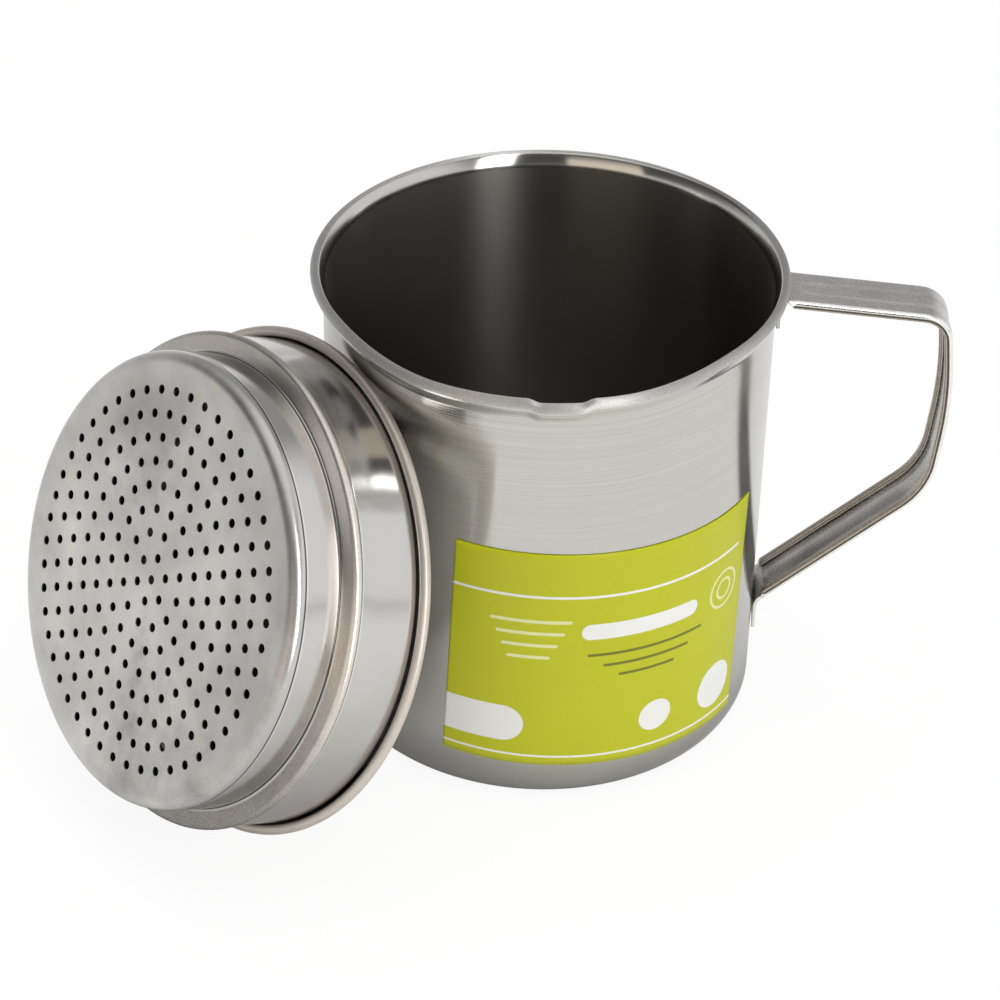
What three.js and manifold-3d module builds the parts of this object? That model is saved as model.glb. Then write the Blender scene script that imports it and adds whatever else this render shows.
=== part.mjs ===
import * as THREE from "three";
import { mergeGeometries, mergeVertices } from "three/addons/utils/BufferGeometryUtils.js";
import Module from "manifold-3d";

const wasm = await Module();
wasm.setup();

// All lengths are in millimetres and all angles in degrees.
// The mug stands at the origin, its handle points along +X and its spout along -Y.

// Mug
const bodyRadius = 52.1;
const mugHeight = 116.5;
const mugSheet = 0.5;
const mugCornerRadius = 6;
const flareHeight = 3.5;
const flareOut = 1;
const mugRollRadius = 1.2;
const mugRollOut = 1.7;
const rollNeck = 1.8;
const mugSegments = 96;

// Pouring lip and the wide, soft outward pull of the rim around it
const spoutAzimuth = -87.5;
const spoutFlatHalf = 4.5;
const spoutWideHalf = 7.7;
const spoutDip = 0.8;
const spoutPush = 0.3;
const spoutDepth = 12.5;
const pullAzimuth = -95;
const pullFlatHalf = 20;
const pullWideHalf = 56;
const pullDip = 0.8;
const pullPush = 1.8;
const pullMargin = 2.6;

// Clearances
const seatGap = 0.3;
const labelGap = 0.1;
const collarClearance = 0.1;
const lidClearance = 0.4;
const pinClearance = 0.3;
const leanGap = 0.3;

// Handle, a pressed strip with turned-in edges
const handleWidth = 14;
const handleSheet = 0.9;
const handleLipThickness = 1.2;
const handleLipDepth = 2.3;
const handleEdge = 0.8;
const handleTabLength = 7.5;
const handleTopDrop = 4.2;
const handleCornerOut = 40.2;
const handleCornerDrop = 8;
const handleBowOut = 42.7;
const handleBowDrop = 30.7;
const handleElbowOut = 40.15;
const handleElbowDrop = 56.4;
const handleFootHeight = 26;
const handleTopBend = 2.5;
const handleCornerBend = 7.6;
const handleBowBend = 105;
const handleElbowBend = 20.5;
const handleFootBend = 3;
const lipRamp = 2.5;
const grooveWidth = 4.6;
const grooveDepth = 0.35;
const grooveSetback = 3;
const grooveRamp = 2;

// Label wrapped on the front of the mug
const labelWidth = 79.5;
const labelHeight = 61;
const labelThickness = 0.2;
const labelCentreHeight = 40.9;
const labelAzimuth = -70.4;
const labelTurn = -2.5;
const labelSteps = 28;

// Strainer basket: its local Z runs from the holed disc towards the lid, its local X to the hinge
const strainerSheet = 0.5;
const discEdgeRadius = 3;
const collarDepth = 12.6;
const ringHeight = 17.6;
const ledgeOverhang = 1.9;
const ledgeFillet = 0.8;
const beadRadius = 1.2;
const beadInset = 0.5;
const holePitch = 5.33;
const holeRadius = 1;
const holeMargin = 4.5;
const holePatternTurn = -1.7;
const holesPerRing = 6;
const holeSides = 6;
const strainerSegments = 60;

// Lid
const lidSheet = 0.5;
const lidRollRadius = 1.2;
const panelRise = 2.5;
const panelStepWidth = 4.5;
const flangeWidth = 8.8;

// Hinge between the lid and the strainer
const hingeOut = 3.8;
const hingeRise = 0.8;
const pinRadius = 1.25;
const pinHeadRadius = 1.9;
const pinHeadThickness = 0.6;
const knuckleRadius = 2.3;
const leafWidth = 11.4;
const leafThickness = 1;
const tabLength = 11.5;
const tabAngle = 20;
const tabCornerRadius = 3;
const leafCornerRadius = 2;
const earThickness = 1;
const earRadius = 2.6;
const bracketPlateThickness = 1;
const bracketPlateHeight = 8;
const bracketOverhang = 1;
const bracketDrop = 1.2;
const earNeck = 2.7;

// Leaning pose of the lid and strainer beside the mug
const leanAzimuth = 37.5;
const leanTilt = 22.93;
const leanSideways = 8.16;
const ajarAngle = 0.8;

// Sizes that follow from the ones above
const tau = Math.PI * 2;
const radians = THREE.MathUtils.degToRad;
const mugRollAxis = bodyRadius + mugRollOut;
const mugRollHeight = mugHeight - mugRollRadius;
const flareTop = mugRollHeight - rollNeck;
const flareFoot = flareTop - flareHeight;
const spoutFoot = mugHeight - spoutDepth;
const pullFoot = labelCentreHeight + labelHeight / 2 + pullMargin;
const collarRadius = bodyRadius - mugSheet - collarClearance;
const ringRadius = mugRollAxis + ledgeOverhang;
const beadAxis = ringRadius - beadInset;
const beadHeight = collarDepth + beadRadius;
const strainerTop = collarDepth + ringHeight;
const flangeUnder = strainerTop + seatGap;
const flangeTop = flangeUnder + lidSheet;
const lidRollAxis = ringRadius + lidClearance + lidRollRadius;
const lidRollHeight = flangeTop - lidRollRadius;
const panelFoot = lidRollAxis - flangeWidth;
const panelTop = flangeTop + panelRise;
const hingeRadius = lidRollAxis + lidRollRadius + hingeOut;
const hingeHeight = lidRollHeight + hingeRise;
const boreRadius = pinRadius + pinClearance;
const earInside = leafWidth / 2 + seatGap;
const earOutside = earInside + earThickness;

const arc = (centreX, centreY, radius, from, to, steps) =>
  Array.from({ length: steps + 1 }, (_, i) => {
    const angle = radians(from + ((to - from) * i) / steps);
    return [centreX + radius * Math.cos(angle), centreY + radius * Math.sin(angle)];
  });

const ease = (share) => share * share * (3 - 2 * share);

const clampShare = (value) => Math.min(Math.max(value, 0), 1);

function geometryOf(positions, triangles) {
  const geometry = new THREE.BufferGeometry();
  geometry.setAttribute("position", new THREE.Float32BufferAttribute(positions, 3));
  geometry.setIndex(triangles);
  return geometry;
}

// Turns a profile of [radius, height] pairs, from the axis round to the axis, about local Z.
function revolve(profile, segments, firstAngle = 0) {
  const positions = [];
  const rings = profile.map(([radius, height]) => {
    const start = positions.length / 3;
    const count = radius === 0 ? 1 : segments;
    for (let i = 0; i < count; i += 1) {
      const angle = radians(firstAngle) + (tau * i) / segments;
      positions.push(radius * Math.cos(angle), radius * Math.sin(angle), height);
    }
    return (i) => start + (count === 1 ? 0 : i % segments);
  });
  const triangles = [];
  for (let k = 0; k + 1 < rings.length; k += 1) {
    const low = rings[k];
    const high = rings[k + 1];
    for (let i = 0; i < segments; i += 1) {
      if (profile[k][0] !== 0) triangles.push(low(i), low(i + 1), high(i));
      if (profile[k + 1][0] !== 0) triangles.push(low(i + 1), high(i + 1), high(i));
    }
  }
  return geometryOf(positions, triangles);
}

// Joins rings of equal point counts into a closed tube with flat ends.
function sweep(rings, outline) {
  const count = outline.length;
  const positions = rings.flat().flatMap((point) => [point.x, point.y, point.z]);
  const triangles = [];
  for (let k = 0; k + 1 < rings.length; k += 1) {
    for (let i = 0; i < count; i += 1) {
      const a = k * count + i;
      const b = k * count + ((i + 1) % count);
      triangles.push(a, b, b + count, a, b + count, a + count);
    }
  }
  const last = (rings.length - 1) * count;
  const clockwise = THREE.ShapeUtils.isClockWise(outline);
  THREE.ShapeUtils.triangulateShape(outline, []).forEach(([a, ...rest]) => {
    const [b, c] = clockwise ? rest.reverse() : rest;
    triangles.push(a, c, b, last + a, last + b, last + c);
  });
  return geometryOf(positions, triangles);
}

function toManifold(geometry) {
  const bare = geometry.clone();
  bare.deleteAttribute("normal");
  bare.deleteAttribute("uv");
  const welded = mergeVertices(bare);
  return new wasm.Manifold(new wasm.Mesh({
    numProp: 3,
    vertProperties: new Float32Array(welded.attributes.position.array),
    triVerts: new Uint32Array(welded.index.array),
  }));
}

function fromManifold(solid) {
  const mesh = solid.getMesh();
  return geometryOf(Array.from(mesh.vertProperties), Array.from(mesh.triVerts));
}

const shapeOf = (points) => new THREE.Shape(points.map(([x, y]) => new THREE.Vector2(x, y)));

// Extrudes an outline in local X and Z, centred on local Y.
function plateAcross(points, width, middle = 0, bore = null) {
  const shape = shapeOf(points);
  if (bore) shape.holes.push(new THREE.Path(bore.map(([x, y]) => new THREE.Vector2(x, y))));
  const plate = new THREE.ExtrudeGeometry(shape, { depth: width, bevelEnabled: false });
  plate.translate(0, 0, -width / 2 - middle);
  return plate.rotateX(Math.PI / 2);
}

// Mug body

// How far the wall stands out at a height, over its plain cylinder.
const flareAt = (height) => flareOut * ease(clampShare((height - flareFoot) / flareHeight));

// How far the wide pull and the pouring lip move the wall at an azimuth and a height: outwards and down.
// Each is 1 over its flat part and eases to 0 at its wide part, and rises from its foot to the flare's top.
function pressAt(azimuth, height) {
  const presses = [
    [pullAzimuth, pullFlatHalf, pullWideHalf, pullFoot, pullPush, pullDip],
    [spoutAzimuth, spoutFlatHalf, spoutWideHalf, spoutFoot, spoutPush, spoutDip],
  ];
  return presses.reduce((sum, [middle, flat, wide, foot, push, dip]) => {
    const off = Math.abs(azimuth - radians(middle));
    const around = 1 - ease(clampShare((off - radians(flat)) / radians(wide - flat)));
    const share = around * ease(clampShare((height - foot) / (flareTop - foot)));
    return { out: sum.out + push * share, down: sum.down + dip * share };
  }, { out: 0, down: 0 });
}

function mugProfile() {
  const cornerAxis = bodyRadius - mugCornerRadius;
  const pullShares = [0, 0.25, 0.5, 0.75, 0.875];
  const flareShares = [0, 0.5, 1];
  const heights = [
    ...pullShares.map((share) => pullFoot + (flareFoot - pullFoot) * share),
    ...flareShares.map((share) => flareFoot + flareHeight * share),
  ];
  const wall = heights.map((height) => [bodyRadius + flareAt(height), height]);
  return [
    [0, 0],
    ...arc(cornerAxis, mugCornerRadius, mugCornerRadius, -90, 0, 3),
    ...wall,
    ...arc(mugRollAxis, mugRollHeight, mugRollRadius, -125, 180, 6),
    ...wall.map(([radius, height]) => [radius - mugSheet, height]).reverse(),
    ...arc(cornerAxis, mugCornerRadius, mugCornerRadius - mugSheet, 0, -90, 3),
    [0, mugSheet],
  ];
}

function bendMouth(geometry) {
  const position = geometry.attributes.position;
  for (let i = 0; i < position.count; i += 1) {
    const point = new THREE.Vector3().fromBufferAttribute(position, i);
    const azimuth = Math.atan2(point.y, point.x);
    const press = pressAt(azimuth, point.z);
    const radius = Math.hypot(point.x, point.y) + press.out;
    position.setXYZ(i, radius * Math.cos(azimuth), radius * Math.sin(azimuth), point.z - press.down);
  }
  return geometry;
}

const mugBody = () => bendMouth(revolve(mugProfile(), mugSegments, spoutAzimuth));

// Handle

// Rounds the inner corners of a polyline and returns its points with their lengths along it.
function roundedPath(corners, bends, steps) {
  const points = [corners[0]];
  for (let i = 1; i + 1 < corners.length; i += 1) {
    const back = corners[i - 1].clone().sub(corners[i]);
    const ahead = corners[i + 1].clone().sub(corners[i]);
    const half = Math.acos(clampShare(Math.abs(back.dot(ahead)) / back.length() / ahead.length()));
    const inner = back.dot(ahead) < 0 ? (Math.PI - half) / 2 : half / 2;
    const room = Math.min(back.length(), ahead.length()) / 2;
    const cut = Math.min(bends[i - 1] / Math.tan(inner), room);
    const radius = cut * Math.tan(inner);
    const start = back.clone().setLength(cut);
    const end = ahead.clone().setLength(cut);
    const middle = start.clone().add(end).setLength(Math.hypot(cut, radius));
    const from = start.clone().sub(middle);
    const to = end.clone().sub(middle);
    const turn = Math.atan2(from.cross(to), from.dot(to));
    for (let k = 0; k <= steps; k += 1) {
      const spoke = from.clone().rotateAround(new THREE.Vector2(), (turn * k) / steps);
      points.push(corners[i].clone().add(middle).add(spoke));
    }
  }
  points.push(corners[corners.length - 1]);
  let run = 0;
  return points.map((point, i) => {
    run += i ? point.distanceTo(points[i - 1]) : 0;
    return { point, run };
  });
}

// Adds stations at the given lengths along the path.
function stationsAt(path, runs) {
  const extra = runs.map((run) => {
    const next = path.findIndex((station) => station.run > run);
    const before = path[next - 1];
    const after = path[next];
    const share = (run - before.run) / (after.run - before.run);
    return { point: before.point.clone().lerp(after.point, share), run };
  });
  return [...path, ...extra].sort((a, b) => a.run - b.run);
}

function handle() {
  const tabFace = bodyRadius + seatGap;
  const at = (out, drop) => new THREE.Vector2(bodyRadius + out, mugHeight - drop);
  const corners = [
    new THREE.Vector2(tabFace, mugHeight - handleTopDrop - handleTabLength),
    new THREE.Vector2(tabFace, mugHeight - handleTopDrop),
    at(handleCornerOut, handleCornerDrop),
    at(handleBowOut, handleBowDrop),
    at(handleElbowOut, handleElbowDrop),
    new THREE.Vector2(tabFace + handleSheet, handleFootHeight),
    new THREE.Vector2(tabFace + handleSheet, handleFootHeight - handleTabLength),
  ];
  const bends = [handleTopBend, handleCornerBend, handleBowBend, handleElbowBend, handleFootBend];
  const path = roundedPath(corners, bends, 5);
  const length = path[path.length - 1].run;
  const lipFrom = handleTabLength + handleSheet;
  const lipTo = length - handleTabLength + handleSheet / 2;
  const grooveFrom = lipFrom + grooveSetback;
  const grooveTo = lipTo - grooveSetback;
  const stations = stationsAt(path, [
    lipFrom, lipFrom + lipRamp, grooveFrom, grooveFrom + grooveRamp,
    lipTo, lipTo - lipRamp, grooveTo, grooveTo - grooveRamp,
  ]);
  const half = handleWidth / 2;
  const leastLipShare = 0.02;
  const sectionAt = (lipShare, grooveShare) => {
    const lip = handleSheet + (handleLipDepth - handleSheet) * Math.max(lipShare, leastLipShare);
    const groove = grooveDepth * grooveShare;
    const side = (sign) => [
      [sign * (half - handleLipThickness), handleSheet],
      [sign * (half - handleLipThickness), lip],
      [sign * half, lip],
      [sign * half, handleEdge],
      [sign * (half - handleEdge), 0],
      [sign * (grooveWidth / 2), 0],
    ];
    return [
      ...side(1),
      [0, groove],
      ...side(-1).reverse(),
      [0, handleSheet + groove],
    ];
  };
  const rings = stations.map(({ point, run }, i) => {
    const before = stations[Math.max(i - 1, 0)].point;
    const after = stations[Math.min(i + 1, stations.length - 1)].point;
    const along = after.clone().sub(before).normalize();
    const inward = new THREE.Vector2(along.y, -along.x);
    const lipShare = clampShare(Math.min(run - lipFrom, lipTo - run) / lipRamp);
    const grooveShare = ease(clampShare(Math.min(run - grooveFrom, grooveTo - run) / grooveRamp));
    const hug = clampShare(1 - (point.x - tabFace - handleSheet) / handleTopBend);
    return sectionAt(lipShare, grooveShare).map(([across, depth]) => {
      const place = point.clone().addScaledVector(inward, depth);
      const sag = tabFace - Math.sqrt(tabFace * tabFace - across * across);
      return new THREE.Vector3(place.x - sag * hug, across, place.y);
    });
  });
  const outline = sectionAt(1, 0).map(([x, y]) => new THREE.Vector2(x, y));
  return sweep(rings, outline);
}

// Label

function label() {
  const radius = bodyRadius + labelGap;
  const turn = radians(labelTurn);
  const spot = (across, up, lift) => {
    const x = across * Math.cos(turn) - up * Math.sin(turn);
    const y = across * Math.sin(turn) + up * Math.cos(turn);
    const azimuth = radians(labelAzimuth) + x / bodyRadius;
    return new THREE.Vector3(
      (radius + lift) * Math.cos(azimuth),
      (radius + lift) * Math.sin(azimuth),
      labelCentreHeight + y,
    );
  };
  const rings = Array.from({ length: labelSteps + 1 }, (_, i) => {
    const across = labelWidth * (i / labelSteps - 1 / 2);
    const top = labelHeight / 2;
    return [
      spot(across, -top, 0),
      spot(across, -top, labelThickness),
      spot(across, top, labelThickness),
      spot(across, top, 0),
    ].reverse();
  });
  const outline = [[0, 0], [1, 0], [1, 1], [0, 1]].map(([x, y]) => new THREE.Vector2(x, y));
  return sweep(rings, outline);
}

// Strainer basket

function strainerHoles() {
  const field = collarRadius - discEdgeRadius - holeRadius - holeMargin;
  const ringCount = Math.floor(field / holePitch);
  const prism = (x, y) => {
    const hole = new THREE.CylinderGeometry(holeRadius, holeRadius, strainerSheet * 4, holeSides);
    return hole.rotateX(Math.PI / 2).translate(x, y, strainerSheet / 2);
  };
  const holes = [prism(0, 0)];
  for (let ring = 1; ring <= ringCount; ring += 1) {
    const count = holesPerRing * ring;
    const firstShare = (ring % 2) / 2;
    for (let i = 0; i < count; i += 1) {
      const angle = (tau * (i + firstShare)) / count + radians(holePatternTurn);
      holes.push(prism(holePitch * ring * Math.cos(angle), holePitch * ring * Math.sin(angle)));
    }
  }
  return mergeGeometries(holes);
}

function strainerBasket() {
  const edgeAxis = collarRadius - discEdgeRadius;
  const inset = strainerSheet / 2;
  const meetAngle = THREE.MathUtils.radToDeg(Math.acos(beadInset / beadRadius));
  const innerBead = beadRadius - strainerSheet;
  const innerMeet = THREE.MathUtils.radToDeg(Math.acos(clampShare((beadInset - strainerSheet) / innerBead)));
  const profile = [
    [0, 0],
    ...arc(edgeAxis, discEdgeRadius, discEdgeRadius, -90, 0, 3),
    [collarRadius, collarDepth - ledgeFillet],
    [collarRadius + ledgeFillet, collarDepth],
    ...arc(beadAxis, beadHeight, beadRadius, -90, meetAngle, 4),
    [ringRadius, strainerTop],
    [ringRadius - strainerSheet, strainerTop],
    ...arc(beadAxis, beadHeight, innerBead, innerMeet, -90, 3),
    [collarRadius + ledgeFillet - inset, collarDepth + strainerSheet],
    [collarRadius - strainerSheet, collarDepth - ledgeFillet + inset],
    ...arc(edgeAxis, discEdgeRadius, discEdgeRadius - strainerSheet, 0, -90, 3),
    [0, strainerSheet],
  ];
  const shell = toManifold(revolve(profile, strainerSegments));
  return fromManifold(shell.subtract(toManifold(strainerHoles())));
}

// Lid

function lidProfile() {
  const underShare = (flangeUnder - lidRollHeight) / lidRollRadius;
  const underAngle = 180 - THREE.MathUtils.radToDeg(Math.asin(clampShare(underShare)));
  const panelEdge = panelFoot - panelStepWidth;
  return [
    [0, panelTop - lidSheet],
    [panelEdge, panelTop - lidSheet],
    [panelFoot, flangeUnder],
    ...arc(lidRollAxis, lidRollHeight, lidRollRadius, underAngle, 450, 7),
    [panelFoot, flangeTop],
    [panelEdge, panelTop],
    [0, panelTop],
  ];
}

const lid = () => revolve(lidProfile(), strainerSegments);

// Hinge

const hingeBore = () => arc(hingeRadius, hingeHeight, boreRadius, 360, 0, 16).slice(1);

function lidHingeLeaf() {
  const under = flangeTop + seatGap;
  const top = under + leafThickness;
  const inner = Math.hypot(panelFoot, leafWidth / 2) + seatGap;
  const onKnuckle = (height) => {
    const share = clampShare((height - hingeHeight) / knuckleRadius);
    return 180 - THREE.MathUtils.radToDeg(Math.asin(share));
  };
  const tabHalf = THREE.MathUtils.radToDeg(Math.asin(leafThickness / 2 / knuckleRadius));
  const reach = new THREE.Vector2(tabLength, 0).rotateAround(new THREE.Vector2(), radians(tabAngle));
  const lower = arc(hingeRadius, hingeHeight, knuckleRadius, onKnuckle(under), 360 + tabAngle - tabHalf, 9);
  const upper = arc(hingeRadius, hingeHeight, knuckleRadius, tabAngle + tabHalf, onKnuckle(top), 4);
  const outline = [
    [inner, under],
    ...lower,
    [lower[lower.length - 1][0] + reach.x, lower[lower.length - 1][1] + reach.y],
    [upper[0][0] + reach.x, upper[0][1] + reach.y],
    ...upper,
    [inner, top],
  ];
  const half = leafWidth / 2;
  const tip = hingeRadius + knuckleRadius + tabLength;
  const ends = [
    ...arc(tip - tabCornerRadius, half - tabCornerRadius, tabCornerRadius, 0, 90, 3),
    ...arc(inner + leafCornerRadius, half - leafCornerRadius, leafCornerRadius, 90, 180, 3),
    ...arc(inner + leafCornerRadius, leafCornerRadius - half, leafCornerRadius, 180, 270, 3),
    ...arc(tip - tabCornerRadius, tabCornerRadius - half, tabCornerRadius, 270, 360, 3),
  ];
  const depth = hingeHeight + tabLength;
  const plan = new THREE.ExtrudeGeometry(shapeOf(ends), { depth: depth * 2, bevelEnabled: false });
  const plate = toManifold(plateAcross(outline, leafWidth, 0, hingeBore()));
  return fromManifold(plate.intersect(toManifold(plan)));
}

function hingeBracket() {
  const plateInside = ringRadius + seatGap;
  const plateOutside = plateInside + bracketPlateThickness;
  const plateTop = lidRollHeight - lidRollRadius - bracketDrop;
  const plateFoot = plateTop - bracketPlateHeight;
  const spread = THREE.MathUtils.radToDeg(Math.asin((earOutside + bracketOverhang) / plateInside));
  const plan = [
    ...arc(0, 0, plateInside, spread, -spread, 4),
    ...arc(0, 0, plateOutside, -spread, spread, 4),
  ];
  const base = new THREE.ExtrudeGeometry(shapeOf(plan), { depth: bracketPlateHeight, bevelEnabled: false });
  base.translate(0, 0, plateFoot);
  const earRoot = Math.sqrt(plateOutside ** 2 - earOutside ** 2) - bracketPlateThickness / 2;
  const ear = (sign) => plateAcross([
    [earRoot, plateFoot],
    ...arc(hingeRadius, hingeHeight, earRadius, -30, 180, 8),
    [earRoot + earNeck, plateTop],
    [earRoot, plateTop],
  ], earThickness, sign * (earInside + earThickness / 2), hingeBore());
  return fromManifold(toManifold(base).add(toManifold(ear(1))).add(toManifold(ear(-1))));
}

function hingePin() {
  const shank = earOutside + seatGap;
  const end = shank + pinHeadThickness;
  const pin = revolve([
    [0, -end],
    [pinHeadRadius, -end],
    [pinHeadRadius, -shank],
    [pinRadius, -shank],
    [pinRadius, shank],
    [pinHeadRadius, shank],
    [pinHeadRadius, end],
    [0, end],
  ], 16);
  return pin.rotateX(Math.PI / 2).translate(hingeRadius, 0, hingeHeight);
}

// Leaning pose

// Least distance from a point beside the mug to its outline, or less than nothing inside it.
function distanceToMug(radius, height, outline) {
  if (radius < bodyRadius + flareAt(height) && height > 0 && height < mugHeight) return -seatGap;
  const point = new THREE.Vector3(radius, height, 0);
  const nearest = new THREE.Vector3();
  return Math.min(...outline.map((line) => line.closestPointToPoint(point, true, nearest).distanceTo(point)));
}

// The lid's roll stands on the floor and the lid is pushed up to the mug until the gap is leanGap.
function lidPose() {
  const azimuth = radians(leanAzimuth);
  const tilt = radians(leanTilt);
  const towardHinge = new THREE.Vector3(-Math.sin(azimuth), Math.cos(azimuth), 0);
  const towardMug = new THREE.Vector3(Math.cos(azimuth), Math.sin(azimuth), 0);
  const axis = towardMug.clone().multiplyScalar(Math.cos(tilt));
  axis.z = -Math.sin(tilt);
  const up = axis.clone().cross(towardHinge);
  const height = lidRollAxis * Math.cos(tilt) + lidRollRadius;
  const poseAt = (distance) => {
    const centre = towardHinge.clone().multiplyScalar(leanSideways).addScaledVector(towardMug, -distance);
    centre.z = height;
    const pose = new THREE.Matrix4().makeBasis(towardHinge, up, axis);
    return pose.setPosition(centre.addScaledVector(axis, -lidRollHeight));
  };
  const outline = mugProfile().map(([x, y]) => new THREE.Vector3(x, y, 0));
  const lines = outline.slice(1).map((point, i) => new THREE.Line3(outline[i], point));
  const rim = revolve(lidProfile().slice(2), strainerSegments).attributes.position;
  const gapAt = (distance) => {
    const pose = poseAt(distance);
    let least = Infinity;
    for (let i = 0; i < rim.count; i += 1) {
      const point = new THREE.Vector3().fromBufferAttribute(rim, i).applyMatrix4(pose);
      const press = pressAt(Math.atan2(point.y, point.x), point.z);
      least = Math.min(least, distanceToMug(Math.hypot(point.x, point.y) - press.out, point.z, lines));
    }
    return least;
  };
  let near = bodyRadius;
  let far = bodyRadius + hingeRadius * 2;
  for (let i = 0; i < 40; i += 1) {
    const middle = (near + far) / 2;
    if (gapAt(middle) < leanGap) near = middle;
    else far = middle;
  }
  return poseAt(far);
}

// The strainer is turned a little open from the lid about the hinge pin.
function strainerPose(pose) {
  const hinge = new THREE.Matrix4().makeTranslation(hingeRadius, 0, hingeHeight);
  const turn = new THREE.Matrix4().makeRotationY(radians(-ajarAngle));
  return pose.clone().multiply(hinge).multiply(turn).multiply(hinge.clone().invert());
}

// Assembly

const steel = { color: 0xb9b7b0, roughness: 0.34, metalness: 1 };
const brightSteel = { color: 0xc9c7c1, roughness: 0.22, metalness: 1 };
const filmGreen = { color: 0xb8be1e, roughness: 0.55, metalness: 0 };

const lidPlace = lidPose();
const strainerPlace = strainerPose(lidPlace);
const upright = new THREE.Matrix4();

const pieces = [
  ["mug_body", mugBody(), steel, upright],
  ["handle", handle(), steel, upright],
  ["label", label(), filmGreen, upright],
  ["strainer_basket", strainerBasket(), brightSteel, strainerPlace],
  ["hinge_bracket", hingeBracket(), steel, strainerPlace],
  ["hinge_pin", hingePin(), steel, strainerPlace],
  ["lid", lid(), brightSteel, lidPlace],
  ["lid_hinge_leaf", lidHingeLeaf(), steel, lidPlace],
];

const assembly = new THREE.Group();
assembly.name = "grease_strainer_pot";
pieces.forEach(([name, geometry, look, place]) => {
  geometry.applyMatrix4(place);
  geometry.computeVertexNormals();
  const mesh = new THREE.Mesh(geometry, new THREE.MeshStandardMaterial(look));
  mesh.name = name;
  assembly.add(mesh);
});

const hingePoint = new THREE.Vector3(hingeRadius, 0, hingeHeight).applyMatrix4(lidPlace);
const swing = new THREE.Vector3(0, -1, 0).transformDirection(lidPlace);
const lift = new THREE.Vector3(0, 0, -1).transformDirection(lidPlace);
console.log("hinge point mm", hingePoint.toArray());
console.log("hinge axis", swing.toArray());
console.log("slide axis", lift.toArray());
console.log("lid frame", lidPlace.elements);
console.log("strainer frame", strainerPlace.elements);

export default assembly;
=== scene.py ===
import math
from functools import reduce

import bmesh
import bpy
import numpy as np
from mathutils import Matrix, Vector
from mathutils.geometry import delaunay_2d_cdt


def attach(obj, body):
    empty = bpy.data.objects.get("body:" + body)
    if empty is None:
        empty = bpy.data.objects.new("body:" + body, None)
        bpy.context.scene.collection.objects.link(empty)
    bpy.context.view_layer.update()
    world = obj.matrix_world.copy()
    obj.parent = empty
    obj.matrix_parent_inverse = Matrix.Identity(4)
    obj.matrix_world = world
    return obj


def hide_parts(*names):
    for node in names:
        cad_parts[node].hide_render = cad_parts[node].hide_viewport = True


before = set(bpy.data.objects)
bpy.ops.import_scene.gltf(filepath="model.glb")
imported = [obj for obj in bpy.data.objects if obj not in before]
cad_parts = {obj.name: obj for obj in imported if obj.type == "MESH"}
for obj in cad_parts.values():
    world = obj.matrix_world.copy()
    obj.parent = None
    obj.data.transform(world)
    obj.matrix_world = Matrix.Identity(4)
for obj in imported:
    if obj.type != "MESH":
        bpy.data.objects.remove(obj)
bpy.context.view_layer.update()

# Sizes are in millimetres in this file and become metres when a mesh is made. Angles are in degrees.
millimetre = 0.001


# Meshes

# Makes an object from points in millimetres, laid out by a 4 by 4 placing matrix. The points before placing are
# kept as the attribute "local", which the materials read.
def makePiece(name, points, faces, place=None, attributes=None, uv=None):
    local = np.asarray(points, dtype=float)
    matrix = np.identity(4) if place is None else np.array(place)
    world = local @ matrix[:3, :3].T + matrix[:3, 3]
    mesh = bpy.data.meshes.new(name)
    mesh.from_pydata((world * millimetre).tolist(), [], faces)
    layer = mesh.attributes.new("local", "FLOAT_VECTOR", "POINT")
    layer.data.foreach_set("vector", local.ravel())
    for key, values in (attributes or {}).items():
        extra = mesh.attributes.new(key, "FLOAT", "POINT")
        extra.data.foreach_set("value", np.asarray(values, dtype=float))
    if uv is not None:
        corners = np.zeros(len(mesh.loops), dtype=int)
        mesh.loops.foreach_get("vertex_index", corners)
        mesh.uv_layers.new(name="UVMap").data.foreach_set("uv", uv[corners].ravel())
    mesh.polygons.foreach_set("use_smooth", [True] * len(mesh.polygons))
    mesh.validate()
    mesh.update()
    piece = bpy.data.objects.new(name, mesh)
    bpy.context.scene.collection.objects.link(piece)
    return piece


# Lists meshes given as (points, faces) as one mesh.
def stackParts(parts):
    starts = np.cumsum([0] + [len(points) for points, _ in parts]).tolist()
    faces = [[start + i for i in face] for start, (_, partFaces) in zip(starts, parts) for face in partFaces]
    return np.concatenate([points for points, _ in parts]), faces


# Stacks meshes and makes points that agree within the tolerance one. Faces that close up are left out.
def weldParts(parts, tolerance=1e-4):
    points, faces = stackParts(parts)
    cells = np.round(points / tolerance).astype(np.int64)
    _, first, owner = np.unique(cells, axis=0, return_index=True, return_inverse=True)
    order = np.argsort(first)
    names = np.argsort(order)[owner.ravel()].tolist()
    welded = []
    for face in faces:
        ring = [names[i] for i in face]
        ring = [v for i, v in enumerate(ring) if v != ring[i - 1]]
        if len(set(ring)) > 2:
            welded.append(ring)
    return points[first[order]], welded


# Points on a circle arc from one angle to another.
def arcPoints(centreX, centreY, radius, start, end, steps):
    angles = np.radians(np.linspace(start, end, steps + 1))
    return [(centreX + radius * math.cos(a), centreY + radius * math.sin(a)) for a in angles]


# Points spaced evenly round a circle about the origin.
def circlePoints(radius, count):
    angles = 2 * math.pi * np.arange(count) / count
    return np.column_stack((np.cos(angles), np.sin(angles))) * radius


# Four-sided faces between two closed rings of point numbers.
def stitch(low, high):
    return np.column_stack((low, np.roll(low, -1), np.roll(high, -1), high))


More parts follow.
